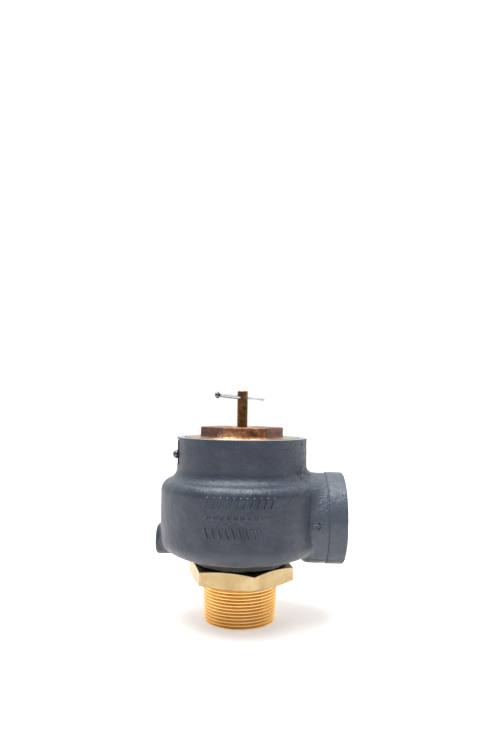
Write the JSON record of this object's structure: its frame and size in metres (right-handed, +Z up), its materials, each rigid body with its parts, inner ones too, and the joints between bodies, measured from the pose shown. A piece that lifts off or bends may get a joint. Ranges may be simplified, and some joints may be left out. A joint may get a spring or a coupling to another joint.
{
  "type": "pressure relief valve",
  "caption": "Side-outlet pressure relief valve: painted cast housing on a brass hexagon base with a threaded inlet, adjusting screw in the neck, and a test stem with a pull pin.",
  "frame": {"origin": "on the valve's axis at the end face of the inlet thread", "axes": "+Z up the valve's axis from the inlet to the stem, +X out of the side outlet, +Y to the back"},
  "size_m": [0.1877, 0.163, 0.231],
  "materials": {
    "grey_paint": "blue-grey enamel over rough cast iron, slight orange peel",
    "grey_paint_plug": "the same enamel over a forged steel plug",
    "machined_brass": "turned and milled, fine tool marks",
    "cast_bronze": "reddish cast bronze, rough as cast on the hexagon, turned on the thread",
    "stem_brass": "drawn rod with brown tarnish",
    "bright_steel": "turned",
    "spring_steel": "cold-wound wire with ground ends",
    "zinc_steel": "bright zinc plate",
    "plate_metal": "rolled sheet, blank",
    "seal_polymer": "moulded, smooth"
  },
  "bodies": {
    "casing": {"housing": "grey_paint", "base_nozzle": "machined_brass", "drain_plug": "grey_paint_plug", "lock_screw": "zinc_steel", "nameplate": "plate_metal", "nameplate_screws": "zinc_steel"},
    "lifting_train": {"seat_seal": "seal_polymer", "seal_retainer": "bright_steel", "disc_holder": "machined_brass", "wing_guide": "machined_brass", "stem": "stem_brass", "stem_nut": "bright_steel", "nut_cotter": "zinc_steel", "lower_spring_step": "bright_steel", "spring": "spring_steel"},
    "spring_step": {"upper_spring_step": "bright_steel", "thrust_washer": "bright_steel"},
    "screw": {"adjusting_screw": "cast_bronze", "stem_bushing": "machined_brass"},
    "pin": {"pull_pin": "zinc_steel"}
  },
  "joints": [
    {"name": "disc_lift", "type": "slide", "parent": "casing", "child": "lifting_train", "axis": [0, 0, 1], "range_m": [0, 0.01], "stiffness_N_per_m": 20000, "springref_m": -0.02, "deforming": ["spring"]},
    {"name": "adjuster_travel", "type": "slide", "parent": "casing", "child": "spring_step", "axis": [0, 0, 1], "range_m": [-0.0052, 0.0149]},
    {"name": "adjuster_turn", "type": "hinge", "parent": "spring_step", "child": "screw", "pos_m": [0, 0, 0.1], "axis": [0, 0, 1], "range_deg": [-720, 2080]},
    {"name": "pin_slide", "type": "slide", "parent": "lifting_train", "child": "pin", "axis": [-0.4997, -0.8655, 0.0349], "range_m": [-0.036, 0.035]}
  ],
  "couplings": [
    {"joint": "adjuster_travel", "follows": "adjuster_turn", "m_per_rad": 0.00040425}
  ]
}
